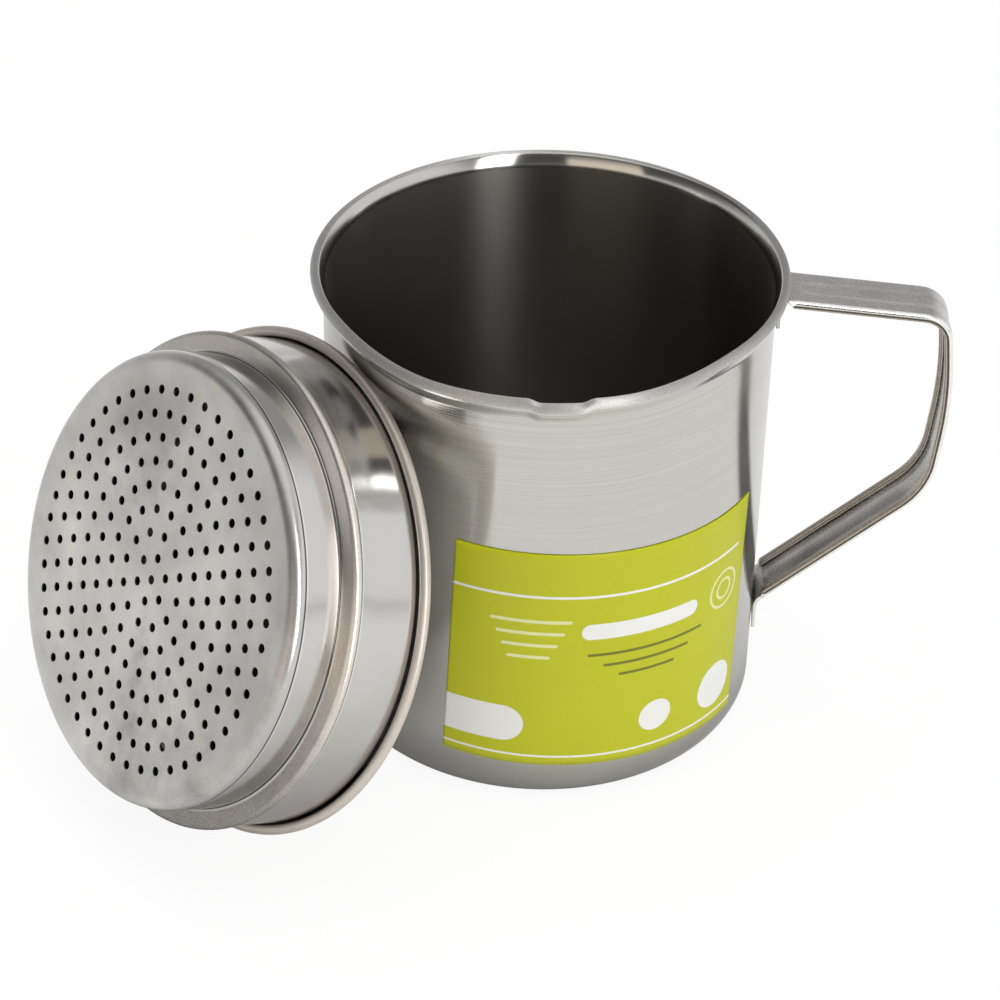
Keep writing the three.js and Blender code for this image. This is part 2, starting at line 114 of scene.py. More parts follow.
# Turns a profile of (radius, height) about Z: x = r cos a, y = r sin a. A radius of zero is one pole, with
# three-sided faces round it.
def revolve(profile, segments, firstAngle=0.0):
    angles = math.radians(firstAngle) + 2 * math.pi * np.arange(segments) / segments
    points = []
    rings = []
    count = 0
    for radius, height in profile:
        turn = angles if radius else angles[:1]
        heights = np.full(len(turn), height)
        points.append(np.column_stack((radius * np.cos(turn), radius * np.sin(turn), heights)))
        rings.append(count + np.arange(segments) % len(turn))
        count += len(turn)
    faces = []
    for low, high in zip(rings, rings[1:]):
        quads = stitch(low, high)
        if low[0] == low[1]:
            quads = quads[:, [0, 2, 3]]
        elif high[0] == high[1]:
            quads = quads[:, :3]
        faces += quads.tolist()
    return np.concatenate(points), faces


# Joins rings of equal point counts into a tube, with a flat cap at each end.
def sweepRings(rings):
    count = len(rings[0])
    last = (len(rings) - 1) * count
    ring = np.arange(count)
    faces = []
    for start in range(0, last, count):
        faces += stitch(ring + start, ring + start + count).tolist()
    faces += [ring[::-1].tolist(), (ring + last).tolist()]
    return np.concatenate(rings), faces


# The edges of a closed loop of numbered points.
def loopEdges(start, count):
    return [(start + i, start + (i + 1) % count) for i in range(count)]


# Triangles over flat points that keep the given edges, all turned the same way.
def fillFlat(flat, edges):
    return [tuple(face) for face in delaunay_2d_cdt([Vector(spot) for spot in flat], edges, [], 1, 1e-6)[2]]


# Counts how often a ray to the right crosses the outline: an odd count is inside.
def isInside(spot, outline):
    inside = False
    for (ax, ay), (bx, by) in zip(outline, np.roll(outline, -1, axis=0)):
        if (ay > spot[1]) != (by > spot[1]) and spot[0] < (bx - ax) * (spot[1] - ay) / (by - ay) + ax:
            inside = not inside
    return inside


# Eases a share from zero to one: 3 s^2 - 2 s^3, flat at both ends and beyond them.
def easeShare(share):
    share = np.clip(share, 0.0, 1.0)
    return share * share * (3 - 2 * share)


# Shader maths

# One value inside a node tree. Arithmetic on it adds Math nodes.
class Value:
    def __init__(self, tree, socket):
        self.tree = tree
        self.socket = socket

    def maths(self, kind, *others):
        numbered = dict(enumerate((self,) + others))
        return addNode(self.tree, "ShaderNodeMath", numbered, {"operation": kind})

    def __add__(self, other):
        return self.maths("ADD", other)

    def __sub__(self, other):
        return self.maths("SUBTRACT", other)

    def __rsub__(self, other):
        return self * -1.0 + other

    def __mul__(self, other):
        return self.maths("MULTIPLY", other)

    def __truediv__(self, other):
        return self.maths("DIVIDE", other)

    def __pow__(self, other):
        return self.maths("POWER", other)

    def __neg__(self):
        return self * -1.0

    def __abs__(self):
        return self.maths("ABSOLUTE")

    __radd__ = __add__
    __rmul__ = __mul__

    def least(self, other):
        return self.maths("MINIMUM", other)

    def most(self, other):
        return self.maths("MAXIMUM", other)

    # Zero at or below low, one at or above high, with a soft slope between.
    def rise(self, low, high):
        settings = {"interpolation_type": "SMOOTHSTEP"}
        return addNode(self.tree, "ShaderNodeMapRange", {0: self, 1: low, 2: high}, settings)

    def fall(self, low, high):
        return 1.0 - self.rise(low, high)

    # One within near of a place, zero beyond far.
    def band(self, place, near, far):
        return abs(self - place).fall(near, far)

    # A noise about one half becomes a swing about zero.
    def swing(self, amount):
        return (self - 0.5) * amount


# Adds any node, feeds its inputs and returns the named or numbered output as a Value.
def addNode(tree, kind, inputs=None, settings=None, output=0):
    node = tree.nodes.new(kind)
    for key, value in (settings or {}).items():
        setattr(node, key, value)
    for key, value in (inputs or {}).items():
        if isinstance(value, Value):
            feed(node, key, value)
        else:
            node.inputs[key].default_value = value
    return Value(tree, node.outputs[output])


def feed(node, key, value):
    value.tree.links.new(value.socket, node.inputs[key])


def combine(x, y, z):
    return addNode(x.tree, "ShaderNodeCombineXYZ", {0: x, 1: y, 2: z})


def separate(vector):
    first = addNode(vector.tree, "ShaderNodeSeparateXYZ", {0: vector})
    return [Value(vector.tree, out) for out in first.socket.node.outputs]


def noise(vector, scale, detail=2.0, roughness=0.5):
    inputs = {"Vector": vector, "Scale": scale, "Detail": detail, "Roughness": roughness}
    return addNode(vector.tree, "ShaderNodeTexNoise", inputs, {"noise_dimensions": "3D"})


def mixColour(factor, first, second):
    settings = {"data_type": "RGBA", "clamp_factor": True}
    return addNode(factor.tree, "ShaderNodeMix", {0: factor, 6: first, 7: second}, settings, 2)


# A colour multiplied by a tone.
def shade(colour, tone):
    return addNode(tone.tree, "ShaderNodeVectorMath", {0: colour, 3: tone}, {"operation": "SCALE"})


# A bump of a strength and of a depth in millimetres.
def bump(height, strength, depth):
    inputs = {"Height": height, "Strength": strength, "Distance": depth * millimetre}
    return addNode(height.tree, "ShaderNodeBump", inputs)


# Reads an attribute of the mesh. Output 1 of the node is a vector and output 2 a number.
def readAttribute(tree, name, output=2):
    settings = {"attribute_name": name, "attribute_type": "GEOMETRY"}
    return addNode(tree, "ShaderNodeAttribute", {}, settings, output)


def startMaterial(name):
    material = bpy.data.materials.new(name)
    material.use_nodes = True
    tree = material.node_tree
    return material, tree, tree.nodes["Principled BSDF"]


# Feeds what all the steels have: a shaded colour, a roughness, full metal and a bump.
def finishSteel(shader, colour, tone, rough, relief):
    feed(shader, "Base Color", shade(colour, tone))
    feed(shader, "Roughness", rough)
    shader.inputs["Metallic"].default_value = 1.0
    feed(shader, "Normal", relief)


# Camera

view = {
    "lens": 108.0, "sensor": 36.0, "near": 10.0, "far": 20000.0, "x": -10.346, "y": -591.985, "z": 468.515,
    "elevation": 35.2626, "roll": 1.3101,
}


# The camera looks along +Y, down by its elevation, and is rolled a little about its line of sight.
def addCamera():
    elevation = math.radians(view["elevation"])
    roll = math.radians(view["roll"])
    forward = Vector((0, math.cos(elevation), -math.sin(elevation)))
    levelRight = Vector((1, 0, 0))
    levelUp = Vector((0, math.sin(elevation), math.cos(elevation)))
    right = levelRight * math.cos(roll) + levelUp * math.sin(roll)
    up = levelUp * math.cos(roll) - levelRight * math.sin(roll)
    data = bpy.data.cameras.new("camera")
    data.lens = view["lens"]
    data.sensor_width = view["sensor"]
    data.clip_start = view["near"] * millimetre
    data.clip_end = view["far"] * millimetre
    camera = bpy.data.objects.new("camera", data)
    matrix = Matrix((right, up, -forward)).transposed().to_4x4()
    matrix.translation = Vector((view["x"], view["y"], view["z"])) * millimetre
    camera.matrix_world = matrix
    bpy.context.scene.collection.objects.link(camera)
    bpy.context.scene.camera = camera


addCamera()
print("camera placed")


# Places of the leaning lid and strainer

# The local Z of both runs from the holed disc to the lid, and the local X to the hinge.
lean = {"x": -86.8881, "y": -56.3862, "z": 65.5825, "azimuth": 37.5, "tilt": 22.93, "ajar": 0.8}


def lidPlace():
    azimuth = math.radians(lean["azimuth"])
    tilt = math.radians(lean["tilt"])
    towardHinge = Vector((-math.sin(azimuth), math.cos(azimuth), 0))
    axis = Vector((math.cos(azimuth) * math.cos(tilt), math.sin(azimuth) * math.cos(tilt), -math.sin(tilt)))
    matrix = Matrix((towardHinge, axis.cross(towardHinge), axis)).transposed().to_4x4()
    matrix.translation = Vector((lean["x"], lean["y"], lean["z"]))
    return matrix


# The strainer stands ajar, turned about the hinge pin.
def strainerPlace():
    toPin = Matrix.Translation((hinge["radius"], 0, hinge["height"]))
    turn = Matrix.Rotation(math.radians(-lean["ajar"]), 4, "Y")
    return lidPlace() @ toPin @ turn @ toPin.inverted()


# Mug body

mug = {
    "radius": 52.1, "sheet": 0.5, "corner": 6.0, "flareFoot": 110.0, "flareTop": 113.5, "flareOut": 1.0,
    "rollAxis": 53.8, "rollHeight": 115.3, "rollRadius": 1.2, "rollStart": -125.0, "rollEnd": 148.0,
    "throatFoot": 112.9, "throatBow": 1.39, "rimEnd": 116.0, "rimFade": 16.0, "segments": 384,
    "floorRadii": (0, 20, 38), "wallRows": (10, 30, 55, 74, 79, 84, 89, 93, 97, 101, 104, 106, 108),
}
# The narrow pouring lip and the wide pull around it, each flat about an azimuth and eased to nothing beside it.
spout = {"azimuth": -87.5, "flat": 4.5, "wide": 7.7, "dip": 0.8, "push": 0.3, "foot": 104.0}
pull = {"azimuth": -95.0, "flat": 20.0, "wide": 56.0, "dip": 0.8, "push": 1.8, "foot": 74.0}


# Over the flare the wall runs r = radius + flareOut * ease(share), then round the roll. The roll's last three
# points belong to the inside, where the throat runs r = inside + reach * (bow s^2 - (bow - 1) s^3) up to them.
def mugProfile():
    inside = mug["radius"] - mug["sheet"]
    cornerAxis = mug["radius"] - mug["corner"]
    shares = np.linspace(0, 1, 13)
    flareRadii = mug["radius"] + mug["flareOut"] * easeShare(shares)
    flareHeights = mug["flareFoot"] + (mug["flareTop"] - mug["flareFoot"]) * shares
    rollCircle = (mug["rollAxis"], mug["rollHeight"], mug["rollRadius"])
    roll = arcPoints(*rollCircle, mug["rollStart"], mug["rollEnd"], steps=24)
    endRadius, endHeight = roll[-1]
    drawn = shares ** 2 * (mug["throatBow"] - (mug["throatBow"] - 1) * shares)
    throatRadii = inside + (endRadius - inside) * drawn
    throatHeights = mug["throatFoot"] + (endHeight - mug["throatFoot"]) * shares
    profile = [(radius, 0) for radius in mug["floorRadii"]]
    profile += arcPoints(cornerAxis, mug["corner"], mug["corner"], -90, 0, steps=14)
    profile += [(mug["radius"], height) for height in mug["wallRows"]]
    profile += list(zip(flareRadii, flareHeights))
    profile += roll
    outerCount = len(profile) - 3
    profile += list(zip(throatRadii, throatHeights))[-2::-1]
    profile += [(inside, height) for height in mug["wallRows"][::-1]]
    profile += arcPoints(cornerAxis, mug["corner"], mug["corner"] - mug["sheet"], 0, -90, steps=12)
    profile += [(radius, mug["sheet"]) for radius in mug["floorRadii"][::-1]]
    return profile, outerCount


# Each press pushes the mouth out and lets it dip, by shares that grow from its foot to the roll.
def bendSpout(points):
    radius = np.hypot(points[:, 0], points[:, 1])
    azimuth = np.arctan2(points[:, 1], points[:, 0])
    height = points[:, 2]
    lowered = 0.0
    pushed = 0.0
    for press in (spout, pull):
        off = np.degrees(np.abs(azimuth - math.radians(press["azimuth"])))
        beside = easeShare((off - press["flat"]) / (press["wide"] - press["flat"]))
        share = (1 - beside) * easeShare((height - press["foot"]) / (mug["flareTop"] - press["foot"]))
        lowered = lowered + press["dip"] * share
        pushed = pushed + press["push"] * share
    bent = radius + pushed
    return np.column_stack((bent * np.cos(azimuth), bent * np.sin(azimuth), height - lowered))


def makeMug():
    profile, outerCount = mugProfile()
    points, faces = revolve(profile, mug["segments"], spout["azimuth"])
    radii, heights = np.array(profile).T
    repeats = np.where(radii == 0, 1, mug["segments"])
    outer = np.arange(len(profile)) < outerCount
    turn = np.degrees(np.arctan2(heights - mug["rollHeight"], radii - mug["rollAxis"]))
    rim = outer * (heights > mug["flareTop"]) * (1 - easeShare((turn - mug["rimEnd"]) / mug["rimFade"]))
    attributes = {"inside": np.repeat(1.0 - outer, repeats), "rim": np.repeat(rim, repeats)}
    return makePiece("mug_shell", bendSpout(points), faces, attributes=attributes)


# The inside tint is far darker than the wall's: painted shade inside the mug.
mugTints = {"wall": (0.66, 0.648, 0.62, 1), "inside": (0.30, 0.283, 0.26, 1), "rim": (0.76, 0.745, 0.72, 1)}


# Even turned lines run round the wall, strongest under the rim, on soft satin steel. Painted shade darkens the
# wall towards its foot, and a painted dark reflection darkens it beside the strainer. The inside has a much
# darker brown tint, which is painted shade, and it is rougher. The rolled rim is matt and speckled.
def mugSteel():
    material, tree, shader = startMaterial("mug_steel_satin")
    local = readAttribute(tree, "local", 1)
    x, y, z = separate(local)
    inside = readAttribute(tree, "inside")
    rim = readAttribute(tree, "rim")
    outside = (1.0 - inside) * (1.0 - rim)
    # The inside below the rim, which takes the painted shade tint.
    shadedInner = inside * (1.0 - rim) * z.fall(112.4, 113.6)
    drift = noise(combine(x * 0.02, y * 0.02, z * 0.10), 1.0)
    turned = (z * 9.67 + drift * 9.0).maths("SINE")
    lines = noise(combine(x * 0.010, y * 0.010, z * 1.9), 1.0, 3.0, 0.65)
    cloud = noise(local, 0.035, 3.0)
    smudge = noise(local, 0.11, 4.0, 0.6)
    speck = noise(local, 2.6, 2.0, 0.7)
    nearRim = z.rise(58.0, 110.0) * 0.85 + 0.15
    # Painted shade: the outer wall darkens towards its foot, where it mirrors the shaded floor.
    foot = z.fall(3.0, 20.0)
    # Painted dark reflection: the wall darkens on the side beside the strainer, where the lid is mirrored.
    paintedLidReflection = (-x).rise(18.0, 46.0) * z.rise(34.0, 64.0)
    tone = 0.95 + cloud.swing(0.10) + outside * nearRim * (turned * 0.060 + lines.swing(0.42))
    tone = tone + rim * speck.swing(0.6) - outside * (foot * 0.42 + paintedLidReflection * 0.36)
    shadedTint = mixColour(shadedInner, mugTints["wall"], mugTints["inside"])
    matt = mixColour(rim, shadedTint, mugTints["rim"])
    rough = (0.15 + smudge.swing(0.05) + rim * 0.40 + shadedInner * 0.20).most(0.05)
    height = (turned * 0.22 + lines * 0.9) * nearRim * outside + speck * rim * 1.6
    finishSteel(shader, matt, tone, rough, bump(height, 0.16, 0.06))
    feed(shader, "Metallic", 1.0 - shadedInner * 0.01)
    shader.inputs["Anisotropic"].default_value = 0.9
    shader.inputs["Anisotropic Rotation"].default_value = 0.25
    return material


# Handle

handle = {
    "width": 14.0, "sheet": 0.9, "lipThickness": 1.9, "lipDepth": 2.0, "lipRound": 0.45, "edge": 1.0,
    "webRound": 0.5, "webRows": (3.0, 2.2, 1.4, 0.7), "stripRound": 0.432, "outerStep": 0.35, "face": 52.4,
    "tab": 7.5, "upperRoot": 0.9, "lowerRoot": 1.2, "lipRamp": 1.6, "bend": 2.5, "grooveWidth": 5.6,
    "grooveDepth": 0.25, "grooveStart": 5.2, "grooveEnd": 4.0, "grooveFlat": 0.45, "grooveSlope": 0.7,
    "webEdge": 0.4, "arcSteps": 24, "steps": 340,
}
# Corners of the strip's path in X and Z from the upper tab to the lower one, and the radius of each bend.
handleCorners = (
    (52.4, 104.8), (52.4, 112.3), (92.3, 108.5), (94.8, 85.8), (92.25, 60.1), (53.3, 26.0), (53.3, 18.5))
handleBends = (2.5, 7.6, 105.0, 20.5, 3.0)


# Rounds the inner corners of the path with circle arcs and spaces points evenly along it.
def handlePath():
    corners = [Vector(corner) for corner in handleCorners]
    dense = [corners[0]]
    for before, corner, after, radius in zip(corners, corners[1:], corners[2:], handleBends):
        back = (before - corner).normalized()
        ahead = (after - corner).normalized()
        half = back.angle(ahead) / 2
        middle = corner + (back + ahead).normalized() * (radius / math.sin(half))
        spoke = corner + back * (radius / math.tan(half)) - middle
        sign = 1 if spoke.y * back.x - spoke.x * back.y > 0 else -1
        for share in np.linspace(0, 1, handle["arcSteps"] + 1):
            dense.append(middle + Matrix.Rotation(sign * (math.pi - 2 * half) * share, 2) @ spoke)
    dense = np.array([tuple(spot) for spot in dense + [corners[-1]]])
    runs = np.concatenate(([0], np.cumsum(np.hypot(*np.diff(dense, axis=0).T))))
    steps = np.linspace(0, runs[-1], handle["steps"] + 1)
    return np.column_stack((np.interp(steps, runs, dense[:, 0]), np.interp(steps, runs, dense[:, 1]))), steps


# One cross-section: across is Y, depth is into the loop. The flat strip has as many points as the channel.
def handleSection(lipShare):
    half = handle["width"] / 2
    sheet = handle["sheet"]
    edge = handle["edge"]
    deep = handle["lipDepth"]
    tip = handle["lipRound"]
    soft = handle["webRound"]
    strip = handle["stripRound"]
    lipFoot = half - handle["lipThickness"]
    web = [(0.0, sheet)] + [(lipFoot - soft - row, sheet) for row in handle["webRows"]]
    channel = web + arcPoints(lipFoot - soft, sheet + soft, soft, -90, 0, steps=5)
    channel += arcPoints(lipFoot + tip, deep - tip, tip, 180, 90, steps=4)
    channel += arcPoints(half - tip, deep - tip, tip, 90, 0, steps=5)
    channel += arcPoints(half - edge, edge, edge, 0, -90, steps=8)
    channel += [(half - edge - back, 0.0) for back in np.linspace(handle["outerStep"], half - edge, 12)]
    flat = web + [(lipFoot - soft + across, sheet) for across in np.linspace(0.0, handle["webEdge"], 6)]
    flat += arcPoints(half - strip, sheet - strip, strip, 90, 5, steps=10)
    flat += arcPoints(half - strip, strip, strip, -5, -90, steps=8)
    flat += [(half - strip - back, 0.0) for back in np.linspace(handle["outerStep"], half - strip, 12)]
    right = np.array(flat) * (1 - lipShare) + np.array(channel) * lipShare
    left = right[1:-1][::-1] * (-1, 1)
    return np.vstack((right, left))


# The strip is swept along its path. Its lips grow beyond the tabs, a shallow groove runs along the web, and
# each tab follows the mug's wall: it sags by face - sqrt(face^2 - y^2).
def makeHandle():
    path, runs = handlePath()
    half = handle["width"] / 2
    face = handle["face"]
    lipFrom = handle["tab"] + handle["upperRoot"]
    lipTo = runs[-1] - handle["tab"] - handle["lowerRoot"]
    befores = path[[0, *range(len(path) - 1)]]
    afters = path[[*range(1, len(path)), -1]]
    rings = []
    across = []
    fold = []
    for spot, run, before, after in zip(path, runs, befores, afters):
        tangent = (after - before) / np.hypot(*(after - before))
        lipShare = float(easeShare(min(run - lipFrom, lipTo - run) / handle["lipRamp"]))
        sides, depths = handleSection(lipShare).T
        beyond = max(lipFrom + handle["grooveStart"] - run, run - lipTo + handle["grooveEnd"], 0.0)
        reach = np.hypot(sides, beyond) / (handle["grooveWidth"] / 2)
        groove = handle["grooveDepth"] * (1 - easeShare((reach - handle["grooveFlat"]) / handle["grooveSlope"]))
        isWeb = np.abs(sides) < half - handle["lipThickness"] - handle["webEdge"]
        hug = np.clip(1 - (spot[0] - face - handle["sheet"]) / handle["bend"], 0, 1)
        sag = face - np.sqrt(face ** 2 - sides ** 2)
        place = spot + np.outer(depths + np.where(isWeb, groove, 0), (tangent[1], -tangent[0]))
        rings.append(np.column_stack((place[:, 0] - sag * hug, sides, place[:, 1])))
        across.append(sides)
        fold.append(depths * lipShare)
    points, faces = sweepRings(rings)
    attributes = {"along": np.repeat(runs, len(rings[0])), "across": np.ravel(across), "fold": np.ravel(fold)}
    return makePiece("handle_strip", points, faces, attributes=attributes)


# The under tint is a browner, darker painted shade for the folded-under layer.
handleTints = {"web": (0.72, 0.71, 0.69, 1), "under": (0.62, 0.56, 0.49, 1)}


# Lengthwise polish lines on a speckled satin web. The hemmed edges carry a painted highlight, with a painted
# dark line of shade where the sheet folds under and a browner underside in painted shade. The channel, the
# roots of its lips, the tabs and a soft line beside the web's groove are darkened with painted shade.
def handleSteel():
    material, tree, shader = startMaterial("handle_steel_satin")
    local = readAttribute(tree, "local", 1)
    along = readAttribute(tree, "along")
    across = readAttribute(tree, "across")
    fold = readAttribute(tree, "fold")
    grain = noise(combine(along * 0.05, across * 2.4, separate(local)[2] * 0.02), 1.0, 3.0, 0.6)
    cloud = noise(local, 0.09, 3.0)
    speck = noise(local, 2.2, 3.0, 0.7)
    side = abs(across)
    edge = side.rise(5.9, 6.7)
    # Painted shade on the folded-under layer, which also takes the under tint.
    under = fold.rise(1.25, 1.4) * side.rise(4.9, 5.1)
    # Painted shade: a dark line where the sheet folds under.
    foldShadeLine = fold.band(1.2, 0.16, 0.34) * side.rise(6.85, 6.95)
    # Painted highlight on the rounded hemmed edges.
    paintedEdgeHighlight = side.rise(5.8, 6.2) * fold.fall(1.0, 1.1)
    channel = fold.rise(0.6, 0.8) * side.fall(4.95, 5.15)
    root = channel * side.rise(3.9, 4.7)
    # Painted shade on the tabs, which lie against the mug.
    tab = along.fall(6.0, 8.0)
    # Painted shade: a soft dark line beside the web's groove.
    paintedCrease = across.band(1.9, 0.15, 0.9) * along.rise(16.0, 22.0) * along.fall(46.0, 54.0)
    tone = 1.05 + cloud.swing(0.40) + grain.swing(0.30) + speck.rise(0.32, 0.68).swing(0.34)
    # Painted shade in the channel, deeper at the roots of its lips.
    channelShade = channel * (0.34 + (cloud - 0.4) * 0.7) + root * 0.45
    # All of the painted shade above, as one factor on the tone.
    paintedShade = 1.0 - (channelShade + under * 0.30 + tab * 0.5 + paintedCrease * 0.14)
    tone = (tone * paintedShade + paintedEdgeHighlight * 0.28) * (1.0 - foldShadeLine * 0.85)
    shadedTint = mixColour(under.most(foldShadeLine), handleTints["web"], handleTints["under"])
    rough = (0.36 - edge * (1.0 - under) * 0.20 + speck.swing(0.14) - channel * 0.10).most(0.06)
    height = grain * 0.6 + speck * 0.9 + cloud * 1.2
    finishSteel(shader, shadedTint, tone, rough, bump(height, 0.22, 0.08))
    return material


# Label

label = {
    "radius": 52.2, "thickness": 0.14, "wide": 79.5, "high": 61.0, "centre": 40.9, "azimuth": -70.4,
    "turn": -2.5, "columns": 160, "rows": 40, "barBlur": 0.08, "ringBlur": 0.06,
}


# A rectangle of film turned a little and wrapped on the wall: azimuth = middle + x / the wall's radius.
def makeLabel():
    rows = np.linspace(-0.5, 0.5, label["rows"] + 1) * label["high"]
    ups = np.concatenate((rows, rows[::-1]))
    lifts = np.repeat((0.0, label["thickness"]), len(rows))
    turn = math.radians(label["turn"])
    rings = []
    uv = []
    for across in np.linspace(-0.5, 0.5, label["columns"] + 1) * label["wide"]:
        x = across * math.cos(turn) - ups * math.sin(turn)
        y = across * math.sin(turn) + ups * math.cos(turn)
        azimuth = math.radians(label["azimuth"]) + x / mug["radius"]
        radius = label["radius"] + lifts
        rings.append(np.column_stack((radius * np.cos(azimuth), radius * np.sin(azimuth), label["centre"] + y)))
        uv.append(np.column_stack((np.full(len(ups), across), ups)))
    points, faces = sweepRings(rings)
    return makePiece("label_film", points, faces, uv=np.concatenate(uv))


labelTints = {
    "lime": (0.51, 0.535, 0.006), "dark": (0.10, 0.12, 0.012, 1), "pale": (0.78, 0.80, 0.45, 1),
    "white": (0.82, 0.82, 0.80, 1),
}
# Printed marks, from the label's middle. A bar or disc is (u, v, half its straight length, radius), and a ring
# is (u, v, radius, line width).
prints = {
    "whiteBars": [
        (-24.0, 18.5, 60.0, 0.35), (-50.0, -19.0, 24.0, 5.2), (6.0, 8.5, 13.0, 2.2), (31.0, -19.5, 0.0, 6.2),
        (11.5, -19.5, 0.0, 4.4), (0.0, -28.0, 60.0, 0.3)],
    "paleBars": [(-21.0, 11.5 - row * 3.4, 9.0 - row * 1.5, 0.45) for row in range(4)],
    "darkBars": [(8.0, 1.8 - row * 3.2, 15.0 - row * 4.0, 0.4) for row in range(3)],
    "paleRings": [(31.0, 8.5, 5.0, 0.7), (31.0, 8.5, 2.6, 0.7)],
    "darkRings": [(-31.0, -19.0, 4.2, 0.6), (-31.0, -19.0, 2.2, 0.6)],
}


# Lime film with a plain printed pattern of its own: a white band, rings, discs and bars, and no lettering.
def labelFilm():
    material, tree, shader = startMaterial("label_film_printed")
    u, v, _ = separate(addNode(tree, "ShaderNodeUVMap", {}, {"uv_map": "UVMap"}))

    def bar(centreU, centreV, halfLong, radius):
        past = (abs(u - centreU) - halfLong).most(0.0)
        reach = (past ** 2.0 + (v - centreV) ** 2.0) ** 0.5
        return reach.fall(radius - label["barBlur"], radius + label["barBlur"])

    def ring(centreU, centreV, radius, width):
        reach = ((u - centreU) ** 2.0 + (v - centreV) ** 2.0) ** 0.5
        return reach.band(radius, width / 2 - label["ringBlur"], width / 2 + label["ringBlur"])

    white = reduce(Value.most, [bar(*mark) for mark in prints["whiteBars"]])
    pale = [ring(*mark) for mark in prints["paleRings"]] + [bar(*mark) for mark in prints["paleBars"]]
    dark = [ring(*mark) for mark in prints["darkRings"]] + [bar(*mark) for mark in prints["darkBars"]]
    fibre = noise(combine(u, v, 0.0), 0.9, 3.0)
    cloud = noise(combine(u, v, 3.0), 0.06)
    lime = shade(labelTints["lime"], 0.97 + fibre.swing(0.05) + cloud.swing(0.07))
    inked = mixColour(reduce(Value.most, dark) * 0.85, lime, labelTints["dark"])
    lined = mixColour(reduce(Value.most, pale) * 0.85, inked, labelTints["pale"])
    feed(shader, "Base Color", mixColour(white, lined, labelTints["white"]))
    feed(shader, "Roughness", 0.42 + fibre.swing(0.08))
    shader.inputs["Specular IOR Level"].default_value = 0.35
    shader.inputs["Coat Weight"].default_value = 0.06
    shader.inputs["Coat Roughness"].default_value = 0.2
    ripple = noise(combine(u * 0.25, v * 0.12, 0.0), 1.0)
    feed(shader, "Normal", bump(ripple + fibre * 0.06, 0.12, 0.2))
    return material


# Strainer basket

basket = {
    "collar": 51.5, "edge": 3.0, "sheet": 0.5, "depth": 12.6, "fillet": 0.8, "ring": 55.7, "bead": 1.2,
    "beadInset": 0.5, "lip": 0.25, "top": 30.2, "pitch": 5.33, "hole": 1.0, "holeFillet": 0.12, "holeBend": 0.3,
    "turn": -1.7, "rings": 8, "border": 0.07, "edgeBorder": 0.35, "segments": 288, "holeSides": 20,
    "beadTrim": 8.0, "collarRows": (6.0, 9.0), "creaseRows": ((0.02, 1.25), (0.0, 1.6)),
    "outerRows": (19.0, 23.0, 27.0, 29.9), "innerRows": (27.0, 23.0, 19.0, 16.5),
    "innerBounds": ((48.0, 0.02), (51.2, 2.9), (55.35, 13.9)),
}


# Six more holes in each ring than in the one before, with every other ring turned by half a step.
def holeCentres():
    centres = [(0.0, 0.0)]
    for ring in range(1, basket["rings"] + 1):
        count = 6 * ring
        angles = 2 * math.pi * (np.arange(count) + (ring % 2) / 2) / count + math.radians(basket["turn"])
        centres += list(zip(basket["pitch"] * ring * np.cos(angles), basket["pitch"] * ring * np.sin(angles)))
    return np.array(centres)


# The disc between its round border and the hole borders, as flat triangles.
def discFaces(centres, borderRadius, holeRadius):
    segments = basket["segments"]
    sides = basket["holeSides"]
    hole = circlePoints(holeRadius, sides)
    flat = np.concatenate([circlePoints(borderRadius, segments)] + [hole + centre for centre in centres])
    edges = loopEdges(0, segments)
    for k in range(len(centres)):
        edges += loopEdges(segments + k * sides, sides)
    kept = []
    for face in fillFlat(flat, edges):
        middle = flat[list(face)].mean(axis=0)
        if np.min(np.hypot(*(centres - middle).T)) > holeRadius * 0.99:
            kept.append(face)
    return flat, kept


# The outer profile runs from the disc round its edge, up the collar, over the ledge and bead and up the ring.
# The inner one comes back a sheet's thickness inside it.
def basketProfile(discEdge):
    edgeAxis = basket["collar"] - basket["edge"]
    ledgeAxis = basket["collar"] + basket["fillet"]
    ledgeHeight = basket["depth"] - basket["fillet"]
    beadAxis = basket["ring"] - basket["beadInset"]
    beadHeight = basket["depth"] + basket["bead"]
    beadEnd = math.degrees(math.acos(basket["beadInset"] / basket["bead"])) - basket["beadTrim"]
    lip = basket["lip"]
    profile = [(discEdge, 0.0)] + arcPoints(edgeAxis, basket["edge"], basket["edge"], -90, 0, steps=14)
    profile += [(basket["collar"], height) for height in basket["collarRows"]]
    profile += arcPoints(ledgeAxis, ledgeHeight, basket["fillet"], 180, 90, steps=7)
    profile += arcPoints(beadAxis, beadHeight, basket["bead"], -90, beadEnd, steps=16)
    profile += [(basket["ring"] + out, beadHeight + up) for out, up in basket["creaseRows"]]
    profile += [(basket["ring"], height) for height in basket["outerRows"]]
    profile += arcPoints(basket["ring"] - lip, basket["top"] - lip, lip, 0, 180, steps=8)
    profile += [(basket["ring"] - basket["sheet"], height) for height in basket["innerRows"]]
    profile += arcPoints(beadAxis, beadHeight, basket["bead"] - basket["sheet"], 88, -90, steps=10)
    profile += arcPoints(ledgeAxis, ledgeHeight, basket["fillet"] + basket["sheet"], 90, 180, steps=7)
    profile += [(basket["collar"] - basket["sheet"], height) for height in basket["collarRows"][::-1]]
    profile += arcPoints(edgeAxis, basket["edge"], basket["edge"] - basket["sheet"], 0, -90, steps=12)
    return profile + [(discEdge, basket["sheet"])]


